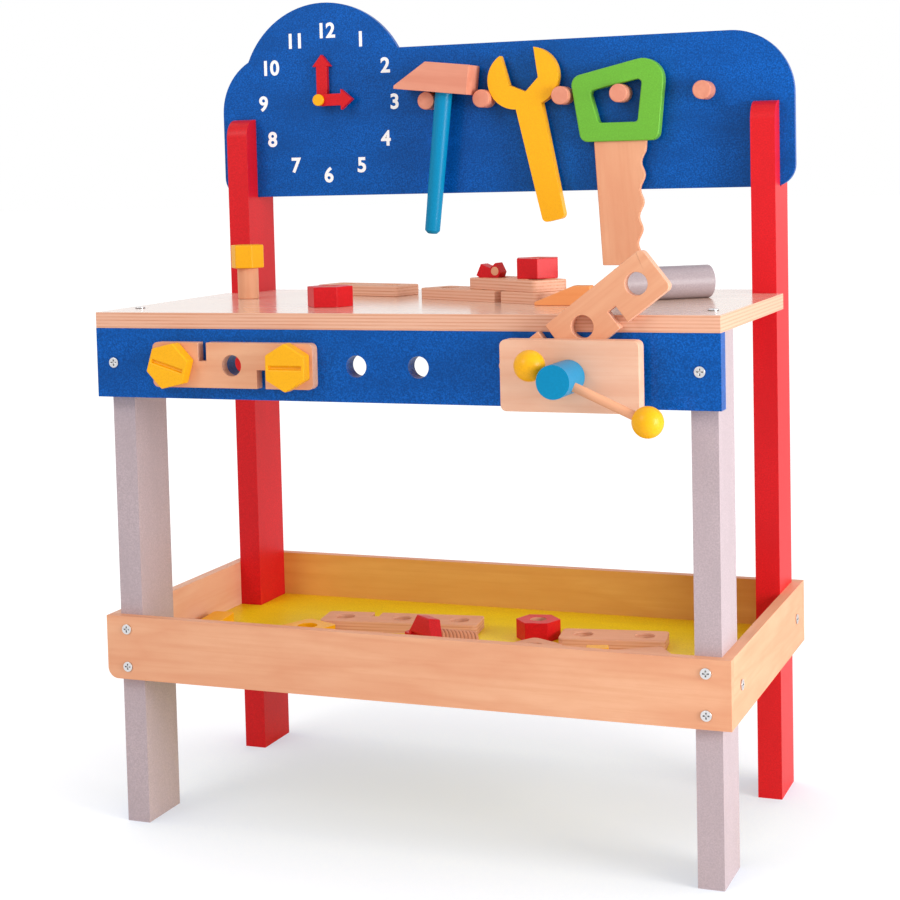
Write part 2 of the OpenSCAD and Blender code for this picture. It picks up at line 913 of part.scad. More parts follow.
// The hammer's own frame: origin where the handle meets the head, +Y up along the handle
module hammer_frame() {
    side_gap = (hammer_handle_d + peg_d) / 2 + fit_gap;
    up_gap = peg_d / 2 + fit_gap;
    translate([
        peg_x(0) + side_gap * cos(hammer_lean) + up_gap * sin(hammer_lean),
        board_y - hammer_out,
        peg_z - side_gap * sin(hammer_lean) + up_gap * cos(hammer_lean)
    ])
        rotate([0, hammer_lean, 0])
            rotate([90, 0, 0])
                children();
}

module hammer_head() {
    tip_h = 3;
    color("burlywood")
        hammer_frame()
            difference() {
                linear_extrude(hammer_head_d)
                    polygon([
                        [-hammer_wedge_l, 0],
                        [hammer_face_l, 0],
                        [hammer_face_l, hammer_head_h],
                        [-hammer_wedge_l + hammer_slope_l, hammer_head_h],
                        [-hammer_wedge_l, tip_h]
                    ]);
                translate([0, -cut_extra, hammer_head_d / 2])
                    rotate([-90, 0, 0])
                        cylinder(d = hammer_handle_d + 2 * glue_gap, h = hammer_seat + cut_extra);
            }
}

module hammer_handle() {
    tip_l = 3;
    color("deepskyblue")
        hammer_frame()
            translate([0, 0, hammer_head_d / 2])
                rotate([90, 0, 0])
                    rotate_extrude()
                        polygon([
                            [0, -hammer_seat + fit_gap],
                            [hammer_handle_d / 2, -hammer_seat + fit_gap],
                            [hammer_handle_d / 2, 0],
                            [hammer_end_d / 2, hammer_handle_l - tip_l],
                            [hammer_end_d / 2 - tip_l, hammer_handle_l],
                            [0, hammer_handle_l]
                        ]);
}

// The wrench's own frame: origin between the two lobes, +Y up along the wrench
module wrench() {
    tip_h = lobe_r - 3;
    throat_w = jaw_gap - 4;
    end_r = 5;
    color("gold")
        translate([wrench_x, board_y - wrench_out, wrench_z])
            rotate([0, -wrench_lean, 0])
                rotate([90, 0, 0])
                    linear_extrude(wrench_t)
                        difference() {
                            union() {
                                for (side = [-1, 1])
                                    translate([side * lobe_offset, 0])
                                        circle(lobe_r, $fn = 96);
                                polygon([
                                    [-wrench_neck_w / 2, 0],
                                    [wrench_neck_w / 2, 0],
                                    [wrench_neck_w / 2, -lobe_r],
                                    [wrench_end_w / 2, -wrench_l + end_r],
                                    [-wrench_end_w / 2, -wrench_l + end_r],
                                    [-wrench_neck_w / 2, -lobe_r]
                                ]);
                                translate([-wrench_end_w / 2 + end_r, -wrench_l])
                                    square([wrench_end_w - 2 * end_r, 2 * end_r]);
                                for (side = [-1, 1])
                                    translate([side * (wrench_end_w / 2 - end_r), -wrench_l + end_r])
                                        circle(end_r);
                            }
                            polygon([
                                [0, -13],
                                [throat_w / 2, -3],
                                [jaw_gap / 2, tip_h],
                                [jaw_gap / 2, 2 * lobe_r],
                                [-jaw_gap / 2, 2 * lobe_r],
                                [-jaw_gap / 2, tip_h],
                                [-throat_w / 2, -3]
                            ]);
                        }
}

// The saw's own frame: origin at the lower left corner of the handle, +Y up
saw_peg_x = 38.3;
saw_slope = (saw_bar - 7) / (saw_handle_w - 2 * saw_bar + 11);
saw_seat_z = saw_handle_h - saw_bar + 4 + saw_slope * (saw_peg_x - saw_bar + 8);
saw_x = peg_x(3) - saw_peg_x;
saw_z = peg_z - saw_seat_z + (peg_d / 2 + fit_gap) * sqrt(1 + saw_slope * saw_slope);

module saw_outline() {
    rounded_polygon(
        [
            [0, 0],
            [saw_handle_w, 0],
            [saw_handle_w + 8.5, saw_handle_h + saw_rise],
            [-9.5, saw_handle_h]
        ],
        [8, 8, saw_top_r, 10]
    );
}

module saw_opening() {
    rounded_polygon(
        [
            [saw_bar, saw_bar],
            [saw_handle_w - saw_bar - 2, saw_bar],
            [saw_handle_w - saw_bar + 3, saw_handle_h - 3],
            [saw_bar - 8, saw_handle_h - saw_bar + 4]
        ],
        [3, 3, 4, 4]
    );
}

module saw_handle() {
    color("limegreen")
        upright([saw_x, board_y - saw_out, saw_z])
            difference() {
                linear_extrude(saw_handle_t)
                    difference() {
                        saw_outline();
                        saw_opening();
                    }
                translate([saw_handle_w / 2 - saw_blade_w / 2, -cut_extra, (saw_handle_t - saw_blade_t) / 2])
                    cube([saw_blade_w, blade_seat + cut_extra, saw_blade_t]);
            }
}

module saw_blade() {
    teeth = floor((saw_blade_l - 10) / tooth_pitch);
    steps = 8;
    wave = 2;
    color("burlywood")
        upright([saw_x + saw_handle_w / 2, board_y - saw_out, saw_z])
            translate([0, 0, (saw_handle_t - saw_blade_t) / 2])
                linear_extrude(saw_blade_t)
                    polygon(concat(
                        [
                            [-saw_blade_w / 2, blade_seat],
                            [-saw_blade_w / 2, 0],
                            [-saw_tip_w / 2, -saw_blade_l],
                            [saw_tip_w / 2, -saw_blade_l]
                        ],
                        [for (i = [0 : teeth * steps])
                            let (
                                y = -saw_blade_l + 8 + i * tooth_pitch / steps,
                                share = -y / saw_blade_l,
                                edge = saw_blade_w / 2 + (saw_tip_w - saw_blade_w) / 2 * share
                            )
                                [edge - wave + wave * cos(i * 360 / steps), y]],
                        [[saw_blade_w / 2, 0], [saw_blade_w / 2, blade_seat]]
                    ));
}

module apron_strip() {
    color("burlywood")
        upright([apron_hole_x(strip_hole), front_y - fit_gap / 2, apron_mid_z])
            strip(3);
}

// A large wooden bolt along +Z: the shank from z = 0, the head with its driver slot on top of it
module bolt_shank() {
    threaded_shank(bolt_d, bolt_shank_l, bolt_pitch);
}

module bolt_head(slot_turn = 0) {
    slot_l = hex_af * 0.86;
    translate([0, 0, bolt_shank_l])
        difference() {
            rotate([0, 0, 30])
                hexagon(hex_af, bolt_head_t);
            rotate([0, 0, slot_turn])
                translate([-slot_l / 2, -driver_slot_w / 2, bolt_head_t - driver_slot_w])
                    cube([slot_l, driver_slot_w, 2 * driver_slot_w]);
        }
}

// Puts a bolt through one end of the apron strip, turned about its own axis
module in_apron(i, turn) {
    upright([apron_hole_x(strip_hole + i), front_y + apron_t + bolt_tail_l, apron_mid_z])
        rotate([0, 0, turn])
            children();
}

module left_apron_bolt_head() {
    color("gold")
        in_apron(-1, left_bolt_turn) bolt_head();
}

module left_apron_bolt_shank() {
    color("burlywood")
        in_apron(-1, left_bolt_turn) bolt_shank();
}

module right_apron_bolt_head() {
    color("gold")
        in_apron(1, 0) bolt_head();
}

module right_apron_bolt_shank() {
    color("burlywood")
        in_apron(1, 0) bolt_shank();
}

module clamped_strip() {
    color("burlywood")
        translate([clamp_x, front_y - clamp_gap, clamp_z])
            rotate([0, -clamp_angle, 0])
                rotate([90, 0, 0])
                    strip(3);
}

// A hexagonal nut with a plain hole
module hex_nut(af, h, bore) {
    difference() {
        hexagon(af, h);
        translate([0, 0, -cut_extra])
            cylinder(d = bore, h = h + 2 * cut_extra);
    }
}

module standing_bolt_head() {
    color("gold")
        on_top(from_left(standing_bolt_at), standing_bolt_turn, small_shank_l)
            hexagon(small_af, small_head_h);
}

module standing_bolt_shank() {
    color("burlywood")
        on_top(from_left(standing_bolt_at), standing_bolt_turn)
            cylinder(d = small_shank_d, h = small_shank_l);
}

module table_nut() {
    color("red")
        on_top(from_left(table_nut_at), table_nut_turn)
            hex_nut(hex_af, nut_h, nut_bore);
}

module table_short_strip() {
    color("burlywood")
        on_top(from_left(table_short_at), table_short_turn)
            strip(2);
}

module table_long_strip() {
    color("burlywood")
        on_top(table_long_at, table_long_turn)
            strip(3);
}

// The upper strip's own frame, on top of the long strip
module upper_strip_frame(lift) {
    on_top(table_long_at, table_long_turn, lift)
        translate([upper_strip_at.x, upper_strip_at.y, 0])
            rotate([0, 0, upper_strip_turn])
                children();
}

module table_upper_strip() {
    color("burlywood")
        upper_strip_frame(strip_t)
            strip(2);
}

// Puts a piece on the upper strip, measured from that strip's middle
module on_stack(at, turn) {
    upper_strip_frame(2 * strip_t)
        translate([at.x, at.y, 0])
            rotate([0, 0, turn])
                children();
}

module stacked_nut() {
    color("red")
        on_stack(stacked_nut_at, stacked_nut_turn)
            hex_nut(hex_af, nut_h, nut_bore);
}

// Where the plug sits in the wing nut's right lobe
plug_x = wing_l / 2 - 5.5;
plug_z = 6;

module wing_nut() {
    color("red")
        on_stack(wing_nut_at, wing_nut_turn)
            upright([0, wing_t / 2, 0])
                linear_extrude(wing_t)
                    difference() {
                        polygon([
                            [-wing_l / 2, 2],
                            [-wing_l / 2 + 3.5, 0],
                            [wing_l / 2 - 2, 0],
                            [wing_l / 2, 5],
                            [wing_l / 2 - 4.5, wing_h],
                            [plug_x - 5, wing_h * 0.65],
                            [-wing_l / 2 + 5, wing_h * 0.92]
                        ]);
                        translate([plug_x, plug_z])
                            circle(d = plug_d + 2 * glue_gap);
                    }
}

module wing_nut_plug() {
    color("burlywood")
        on_stack(wing_nut_at, wing_nut_turn)
            upright([plug_x, wing_t / 2, plug_z])
                cylinder(d = plug_d, h = wing_t);
}

module wedge_block() {
    color("sandybrown")
        on_top(wedge_at, 0)
            upright([0, wedge_d, 0])
                linear_extrude(wedge_d)
                    polygon([
                        [0, 0],
                        [wedge_l, 0],
                        [wedge_l, wedge_h],
                        [wedge_slope_l, wedge_h],
                        [0, wedge_tip_h]
                    ]);
}

module grey_cylinder() {
    color("gainsboro")
        on_top(from_right(cylinder_at), cylinder_turn, cylinder_d / 2)
            rotate([0, 90, 0])
                cylinder(d = cylinder_d, h = cylinder_l, center = true);
}

module tray_long_strip() {
    color("burlywood")
        in_tray(from_left(tray_long_at), tray_long_turn)
            strip(3);
}

// The lying bolt points along local +X and rests on the edge of its head and the end of its shank
tray_bolt_tilt = atan((hex_af - bolt_d) / 2 / bolt_shank_l);
module tray_bolt_frame() {
    in_tray(tray_bolt_at, tray_bolt_turn, hex_af / 2 * cos(tray_bolt_tilt) + run_gap)
        rotate([0, tray_bolt_tilt - 90, 0])
            translate([0, 0, -bolt_shank_l])
                children();
}

module tray_bolt_head() {
    color("red")
        tray_bolt_frame() bolt_head(90);
}

module tray_bolt_shank() {
    color("burlywood")
        tray_bolt_frame() bolt_shank();
}

module tray_small_nut() {
    color("red")
        in_tray(tray_small_nut_at, tray_small_nut_turn)
            hex_nut(small_af, small_nut_h, small_nut_bore);
}

module tray_nut() {
    color("red")
        in_tray(tray_nut_at, tray_nut_turn)
            hex_nut(hex_af, nut_h, nut_bore);
}

module tray_near_strip() {
    color("burlywood")
        in_tray(tray_near_at, tray_near_turn)
            strip(2);
}

module tray_short_strip() {
    color("burlywood")
        in_tray(tray_short_at, tray_short_turn)
            strip(2);
}

module tray_plate() {
    color("burlywood")
        in_tray(plate_at, plate_turn)
            linear_extrude(strip_t)
                rounded_rect(plate_l, strip_w, strip_r);
}

module yellow_strip() {
    color("gold")
        in_tray(from_left(tray_long_at + yellow_strip_from_long), yellow_strip_turn)
            strip(2);
}

module yellow_bar() {
    color("gold")
        in_tray(yellow_bar_at, yellow_bar_turn)
            translate([-bar_l / 2, -bar_w / 2, 0])
                cube([bar_l, bar_w, strip_t]);
}

module yellow_block() {
    color("gold")
        in_tray(from_left(yellow_block_at), yellow_block_turn)
            linear_extrude(strip_t)
                rounded_rect(block_l, strip_w, strip_r);
}

front_leg(-1);  // left_front_leg
front_leg(1);  // right_front_leg
back_post(-1);  // left_back_post
back_post(1);  // right_back_post
tabletop();
front_apron();
back_board();
tray_front_rail();
tray_back_rail();
tray_side_rail(-1);  // tray_left_rail
tray_side_rail(1);  // tray_right_rail
tray_floor();
tool_pegs();
tabletop_screws();
apron_screws();
tray_rail_screws();
tray_side_screws();
clock_minute_hand();
clock_hour_hand();
clock_pin();
vise_jaw();
vise_guide_pins();
vise_screw();
vise_knob();
vise_handle();
vise_handle_balls();
hammer_head();
hammer_handle();
wrench();
saw_handle();
saw_blade();
apron_strip();
left_apron_bolt_head();
left_apron_bolt_shank();
right_apron_bolt_head();
right_apron_bolt_shank();
clamped_strip();
standing_bolt_head();
standing_bolt_shank();
table_nut();
table_short_strip();
table_long_strip();
table_upper_strip();
stacked_nut();
wing_nut();
wing_nut_plug();
wedge_block();
grey_cylinder();
tray_long_strip();
tray_bolt_head();
tray_bolt_shank();
tray_small_nut();
tray_nut();
tray_near_strip();
tray_short_strip();
tray_plate();
yellow_strip();
yellow_bar();
yellow_block();
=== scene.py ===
"""Toy workbench: the looks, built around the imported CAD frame."""

import json
import math

import bmesh
import bpy
import numpy as np
from mathutils import Matrix, Vector


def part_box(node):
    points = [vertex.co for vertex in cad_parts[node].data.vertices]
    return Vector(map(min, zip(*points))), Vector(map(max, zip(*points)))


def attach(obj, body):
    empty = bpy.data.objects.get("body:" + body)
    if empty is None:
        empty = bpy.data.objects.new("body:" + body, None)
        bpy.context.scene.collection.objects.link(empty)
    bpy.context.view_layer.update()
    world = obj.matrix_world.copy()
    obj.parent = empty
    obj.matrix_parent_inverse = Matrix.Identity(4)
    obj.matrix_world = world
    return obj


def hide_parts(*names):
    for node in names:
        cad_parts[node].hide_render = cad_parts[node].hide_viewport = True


MM = 0.001
BLACK = (0, 0, 0, 1)
WHITE = (1, 1, 1, 1)

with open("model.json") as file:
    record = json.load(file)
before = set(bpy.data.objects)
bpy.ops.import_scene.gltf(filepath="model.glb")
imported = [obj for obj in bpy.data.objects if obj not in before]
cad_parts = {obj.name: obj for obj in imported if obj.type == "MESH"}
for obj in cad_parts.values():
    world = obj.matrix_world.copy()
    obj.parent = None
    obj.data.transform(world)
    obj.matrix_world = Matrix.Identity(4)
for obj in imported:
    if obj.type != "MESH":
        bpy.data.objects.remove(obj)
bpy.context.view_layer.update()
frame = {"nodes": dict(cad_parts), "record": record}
nodes = frame["nodes"]
slot_of = {s["node"]: s["material_slot"] for s in frame["record"]["subparts"]}
body_of = {n: b for b, ns in frame["record"]["behaviour"]["bodies"].items() for n in ns}


# ---------------------------------------------------------------- materials

def srgb(r, g, b):
    """An sRGB colour, 0 to 255, as a linear RGBA tuple."""
    def linear(c):
        c /= 255
        return c / 12.92 if c <= 0.04045 else ((c + 0.055) / 1.055) ** 2.4
    return (linear(r), linear(g), linear(b), 1)


def grey(level):
    """A linear grey."""
    return (level, level, level, 1)


def dimmed(colour, share):
    """A colour with its three channels multiplied by share."""
    return tuple(c * share for c in colour[:3]) + (1,)


def new_material(name, roughness, coat=0.0, coat_roughness=0.15, specular=0.5):
    """A material with a Principled shader. Returns it with its node tree and its shader."""
    mat = bpy.data.materials.new(name)
    mat.use_nodes = True
    tree = mat.node_tree
    shader = tree.nodes["Principled BSDF"]
    shader.inputs["Roughness"].default_value = roughness
    shader.inputs["Specular IOR Level"].default_value = specular
    shader.inputs["Coat Weight"].default_value = coat
    shader.inputs["Coat Roughness"].default_value = coat_roughness
    return mat, tree, shader


def grain_coordinates(tree, scale):
    """The piece's own coordinates in metres, X along its grain, scaled on each axis."""
    attribute = tree.nodes.new("ShaderNodeAttribute")
    attribute.attribute_name = "grain"
    mapping = tree.nodes.new("ShaderNodeMapping")
    mapping.inputs["Scale"].default_value = scale
    tree.links.new(attribute.outputs["Vector"], mapping.inputs["Vector"])
    return mapping.outputs["Vector"]


def noise(tree, scale, detail=3.0, roughness=0.5, distortion=0.0):
    """A noise texture stretched along the grain: scale is in waves a metre on each axis."""
    tex = tree.nodes.new("ShaderNodeTexNoise")
    tex.inputs["Scale"].default_value = 1
    tex.inputs["Detail"].default_value = detail
    tex.inputs["Roughness"].default_value = roughness
    tex.inputs["Distortion"].default_value = distortion
    tree.links.new(grain_coordinates(tree, scale), tex.inputs["Vector"])
    return tex.outputs["Fac"]


def ramp(tree, value, stops):
    """A colour ramp over value, with stops of (position, colour)."""
    node = tree.nodes.new("ShaderNodeValToRGB")
    elements = node.color_ramp.elements
    while len(elements) < len(stops):
        elements.new(0.5)
    for element, (position, colour) in zip(elements, stops):
        element.position = position
        element.color = colour
    tree.links.new(value, node.inputs["Fac"])
    return node.outputs["Color"]


# The Mix node's sockets when it mixes colours
MIX_FACTOR, MIX_A, MIX_B, MIX_RESULT = 0, 6, 7, 2


def mix(tree, a, b, factor):
    """Mixes two colours. Each of a, b and factor is a value or a socket."""
    node = tree.nodes.new("ShaderNodeMix")
    node.data_type = "RGBA"
    for index, value in ((MIX_FACTOR, factor), (MIX_A, a), (MIX_B, b)):
        if isinstance(value, bpy.types.NodeSocket):
            tree.links.new(value, node.inputs[index])
        else:
            node.inputs[index].default_value = value
    return node.outputs[MIX_RESULT]


def bump(tree, shader, height, depth_mm, strength=1.0):
    """Bumps the shader's normal by height, which runs from 0 to 1 over depth_mm."""
    node = tree.nodes.new("ShaderNodeBump")
    node.inputs["Strength"].default_value = strength
    node.inputs["Distance"].default_value = depth_mm * MM
    tree.links.new(height, node.inputs["Height"])
    tree.links.new(node.outputs["Normal"], shader.inputs["Normal"])


OCCLUSION_SAMPLES = 16


def openness(tree, reach):
    """How open the surface is to the air within reach, in metres: 0 is shut in, 1 is free."""
    node = tree.nodes.new("ShaderNodeAmbientOcclusion")
    node.samples = OCCLUSION_SAMPLES
    node.inputs["Distance"].default_value = reach
    return node.outputs["AO"]


def crevices(tree, colour, dark, reach_mm, low, high):
    """Painted shade: darkens colour towards dark where the surface is shut in within reach_mm, as
    in grooves and slots.
    """
    open_air = ramp(tree, openness(tree, reach_mm * MM), [(low, BLACK), (high, WHITE)])
    return mix(tree, dark, colour, open_air)


# The marks in the wood, in waves a metre along the grain and on the two axes across it
FIGURE = (4, 30, 30)
MOTTLE = (30, 90, 90)
STREAKS = (7, 260, 260)
PORES = (80, 1300, 1300)
# How much of the darker wood the strongest marks take
WOOD_CONTRAST = 0.55


def wood(name, light, dark, roughness=0.5, coat=0.0, specular=0.3, groove_shade=None):
    """Pale smooth-sanded wood: soft figure, faint streaks and short pores along the grain.

    Where a groove shade colour is given, the grooves are darkened towards it as painted shade.
    """
    mat, tree, shader = new_material(name, roughness, coat, specular=specular)
    figure = noise(tree, FIGURE, detail=2, distortion=0.8)
    mottle = noise(tree, MOTTLE, detail=3)
    streaks = noise(tree, STREAKS, detail=3, roughness=0.55)
    pores = noise(tree, PORES, detail=2)
    middle = tuple((a + b) / 2 for a, b in zip(light, dark))
    colour = ramp(tree, figure, [(0.3, light), (0.52, middle), (0.74, light)])
    for value, low, high, share in (
        (mottle, 0.4, 0.7, 0.5), (streaks, 0.45, 0.8, 0.8), (pores, 0.6, 0.85, 0.6),
    ):
        most = grey(WOOD_CONTRAST * share)
        colour = mix(tree, colour, dark, ramp(tree, value, [(low, BLACK), (high, most)]))
    if groove_shade:
        # painted shade: the grooves darken where they are shut in
        colour = crevices(tree, colour, groove_shade, reach_mm=1.6, low=0.45, high=0.9)
    tree.links.new(colour, shader.inputs["Base Color"])
    bump(tree, shader, streaks, depth_mm=0.08, strength=0.4)
    return mat


# The streaks along a plywood edge, and the waves along its layers
EDGE_STREAKS = (12, 400, 700)
LAYER_WAVER = 3


def ply_edge(name, light, dark, ply_mm):
    """The cut edge of plywood: layers of ply_mm across the thickness, with streaks along them."""
    mat, tree, shader = new_material(name, roughness=0.5, specular=0.3)
    wave = tree.nodes.new("ShaderNodeTexWave")
    wave.wave_type = "BANDS"
    wave.bands_direction = "Z"
    wave.inputs["Scale"].default_value = 1
    wave.inputs["Distortion"].default_value = 0.9
    wave.inputs["Detail"].default_value = 2
    wave.inputs["Detail Scale"].default_value = 0.4
    # A wave is a light and a dark layer, and the texture's bands are pi / 10 long at scale 1
    waves_a_metre = 1 / (2 * ply_mm * MM) * math.pi / 10
    layer_scale = (LAYER_WAVER, LAYER_WAVER, waves_a_metre)
    tree.links.new(grain_coordinates(tree, layer_scale), wave.inputs["Vector"])
    streaks = noise(tree, EDGE_STREAKS, detail=4, roughness=0.6)
    middle = tuple((3 * a + b) / 4 for a, b in zip(light, dark))
    layers = ramp(tree, wave.outputs["Fac"], [(0.12, dark), (0.4, middle), (0.75, light)])
    worn = ramp(tree, streaks, [(0.3, BLACK), (0.65, WHITE)])
    tree.links.new(mix(tree, layers, middle, worn), shader.inputs["Base Color"])
    bump(tree, shader, wave.outputs["Fac"], depth_mm=0.08, strength=0.3)
    return mat


# The marks in the paint and on the screws, in waves a metre
PAINT_SPECKLE = (750, 750, 750)
PAINT_CLOUDS = (14, 45, 45)
PAINTED_GRAIN = (10, 380, 380)
SCRATCHES = (300, 2500, 2500)


def paint(name, colour, roughness=0.4, coat=0.1, speckle=0.1, peel_mm=0.05, specular=0.25):
    """Paint on wood: an even colour with fine speckle, orange peel and a trace of the grain."""
    mat, tree, shader = new_material(name, roughness, coat, specular=specular)
    fine = noise(tree, PAINT_SPECKLE, detail=2)
    cloud = noise(tree, PAINT_CLOUDS, detail=3)
    lines = noise(tree, PAINTED_GRAIN, detail=3)
    pale = tuple(min(1, c * (1 + 1.2 * speckle) + 0.012 * speckle) for c in colour[:3]) + (1,)
    deep = dimmed(colour, 1 - speckle)
    speckled = ramp(tree, fine, [(0.32, deep), (0.5, colour), (0.68, pale)])
    clouds = ramp(tree, cloud, [(0.4, BLACK), (0.75, grey(0.6))])
    tree.links.new(mix(tree, speckled, deep, clouds), shader.inputs["Base Color"])
    bump(tree, shader, mix(tree, fine, lines, 0.25), peel_mm)
    return mat


def metal(name, colour, roughness):
    """Bright screw metal, with painted shade inside the cross recess."""
    mat, tree, shader = new_material(name, roughness)
    shader.inputs["Metallic"].default_value = 1
    scratches = noise(tree, SCRATCHES, detail=2)
    face = ramp(tree, scratches, [(0.35, dimmed(colour, 0.85)), (0.65, colour)])
    # painted shade: the cross recess turns near-black where it is shut in
    recess_shade = (0.01, 0.01, 0.015, 1)
    face = crevices(tree, face, recess_shade, reach_mm=1.5, low=0.5, high=0.85)
    tree.links.new(face, shader.inputs["Base Color"])
    bump(tree, shader, scratches, depth_mm=0.02, strength=0.4)
    return mat


def plain(name, colour):
    """An even matt colour."""
    mat, _, shader = new_material(name, roughness=0.6, specular=0.2)
    shader.inputs["Base Color"].default_value = colour
    return mat


LIGHT = srgb(236, 177, 139)
TAN = srgb(219, 145, 107)

MATERIALS = {
    "light_wood": wood("light_wood", LIGHT, TAN),
    "top_wood": wood(
        "top_wood", srgb(247, 217, 198), srgb(233, 191, 166),
        roughness=0.2, coat=0.6, specular=0.5,
    ),
    "blue_paint": paint(
        "blue_paint", srgb(0, 84, 169),
        roughness=0.32, coat=0.11, speckle=0.32, peel_mm=0.13, specular=0.12,
    ),
    "red_paint": paint("red_paint", srgb(213, 21, 30), coat=0.05, specular=0.2),
    "silver_paint": paint("silver_paint", srgb(185, 167, 172), roughness=0.45),
    "yellow_paint": paint("yellow_paint", srgb(250, 178, 5), speckle=0.06),
    "bright_blue_paint": paint(
        "bright_blue_paint", srgb(0, 137, 185), speckle=0.06, specular=0.12
    ),
    "green_paint": paint("green_paint", srgb(106, 179, 51), coat=0.15, speckle=0.08),
    "orange_paint": wood("orange_paint", srgb(243, 163, 102), srgb(229, 137, 75)),
    "screw_metal": metal("screw_metal", srgb(244, 244, 246), roughness=0.3),
}
PLY_EDGE = ply_edge("ply_edge", srgb(236, 184, 156), srgb(205, 134, 101), ply_mm=1.45)
PINK_WOOD = wood("pink_wood", srgb(229, 156, 130), srgb(212, 129, 103))
JAW_WOOD = wood("jaw_wood", srgb(241, 196, 168), srgb(227, 164, 132))
# The thread's grooves carry painted shade in dark brown
THREAD_WOOD = wood("thread_wood", LIGHT, TAN, groove_shade=srgb(120, 66, 36))
NUT_BORE = wood("nut_bore", srgb(226, 170, 140), srgb(200, 130, 100))
CYLINDER_GREY = paint("cylinder_grey", srgb(166, 152, 156), speckle=0.08)
# Wood tinted ochre: painted bounce light from the yellow tray floor, for the rails' inner faces
TRAY_PAINTED_BOUNCE = wood("tray_painted_bounce", srgb(234, 183, 98), srgb(218, 154, 72))
TRAY_FLOOR = paint("tray_floor_paint", srgb(246, 217, 14), speckle=0.12, peel_mm=0.06)
NUMERAL_WHITE = plain("numeral_white", srgb(255, 255, 255))

# Pieces whose wood or paint differs from the rest of their slot
OWN_MATERIAL = {
    "hammer_head": PINK_WOOD, "tool_pegs": PINK_WOOD,
    "vise_jaw": JAW_WOOD, "tray_left_rail": JAW_WOOD,
    "tray_floor": TRAY_FLOOR, "grey_cylinder": CYLINDER_GREY,
    "vise_screw": THREAD_WOOD, "tray_bolt_shank": THREAD_WOOD,
    "left_apron_bolt_shank": THREAD_WOOD, "right_apron_bolt_shank": THREAD_WOOD,
}
# The tray rails whose inner face takes painted bounce light, an ochre tint from the yellow tray
# floor, and the way that face looks
PAINTED_BOUNCE_SIDES = {
    "tray_front_rail": Vector((0, 1, 0)), "tray_back_rail": Vector((0, -1, 0)),
    "tray_right_rail": Vector((-1, 0, 0)),
}
# The pieces whose sides show the plywood's layers
PLYWOOD = {
    "tabletop", "apron_strip", "clamped_strip", "table_short_strip", "table_long_strip",
    "table_upper_strip", "tray_long_strip", "tray_near_strip", "tray_short_strip",
    "tray_plate",
}
# The pieces with a bare wooden bore
NUTS = {"table_nut", "stacked_nut", "tray_nut", "tray_small_nut"}


# ---------------------------------------------------------------- dressing CAD nodes

SAME_POINT = 0.002 * MM           # vertices nearer than this are one
FLAT_ANGLE = math.radians(0.5)    # faces that meet at less than this are one
SHARP_ANGLE = math.radians(32)    # edges that turn by more than this are rounded off
LONG_EDGE = 10 * MM               # a shorter edge doesn't show which way the grain runs


def add_object(name, data):
    """A new object in the scene."""
    obj = bpy.data.objects.new(name, data)
    bpy.context.scene.collection.objects.link(obj)
    return obj


def clean_copy(node):
    """A bmesh of a CAD node with its split vertices joined and its flat faces made whole."""
    bm = bmesh.new()
    bm.from_mesh(nodes[node].data)
    bmesh.ops.remove_doubles(bm, verts=bm.verts, dist=SAME_POINT)
    bmesh.ops.dissolve_limit(
        bm, angle_limit=FLAT_ANGLE, verts=bm.verts, edges=bm.edges, delimit={"NORMAL"}
    )
    bm.normal_update()
    return bm


def grain_frame(bm):
    """Rotation into the piece's own axes: X along its grain, Z out of its largest side face.

    The grain follows the longest edge, or the longest extent of a piece with short edges only.
    """
    longest = max(bm.edges, key=lambda e: e.calc_length())
    if longest.calc_length() > LONG_EDGE:
        along = (longest.verts[1].co - longest.verts[0].co).normalized()
    else:
        points = np.array([v.co for v in bm.verts])
        values, vectors = np.linalg.eigh(np.cov((points - points.mean(0)).T))
        along = Vector(vectors[:, np.argmax(values)])
    flats = [f for f in bm.faces if abs(f.normal.dot(along)) < 0.2]
    across = max(flats, key=lambda f: f.calc_area()).normal
    side = across.cross(along).normalized()
    return Matrix((along, side, along.cross(side)))


# Each piece's grain starts this much further on, in metres, than the piece's before it
GRAIN_STEP = (0.37, 0.71)


def mark_grain(mesh, rotation, order):
    """Stores each vertex's place along and across the grain, shifted for each piece."""
    shift = Vector((GRAIN_STEP[0] * order % 1, GRAIN_STEP[1] * order % 1, 0))
    grain = mesh.attributes.new("grain", "FLOAT_VECTOR", "POINT")
    centre = sum((v.co for v in mesh.vertices), Vector()) / len(mesh.vertices)
    for vertex, item in zip(mesh.vertices, grain.data):
        item.vector = rotation @ (vertex.co - centre) + shift


def finish_mesh(bm, name, materials, bevel_mm, order, rotation):
    """Turns a bmesh into a shaded object with grain coordinates and a rounded-edge modifier."""
    mesh = bpy.data.meshes.new(name)
    bm.to_mesh(mesh)
    bm.free()
    for attribute in ("custom_normal", "sharp_face", "sharp_edge"):
        if attribute in mesh.attributes:
            mesh.attributes.remove(mesh.attributes[attribute])
    mesh.shade_smooth()
    mesh.set_sharp_from_angle(angle=SHARP_ANGLE)
    mark_grain(mesh, rotation, order)
    for material in materials:
        mesh.materials.append(material)
    obj = add_object(name, mesh)
    mod = obj.modifiers.new("rounded_edges", "BEVEL")
    mod.width = bevel_mm * MM
    mod.segments = 3
    mod.limit_method = "ANGLE"
    mod.angle_limit = SHARP_ANGLE
    mod.harden_normals = True
    mod.use_clamp_overlap = True
    return obj


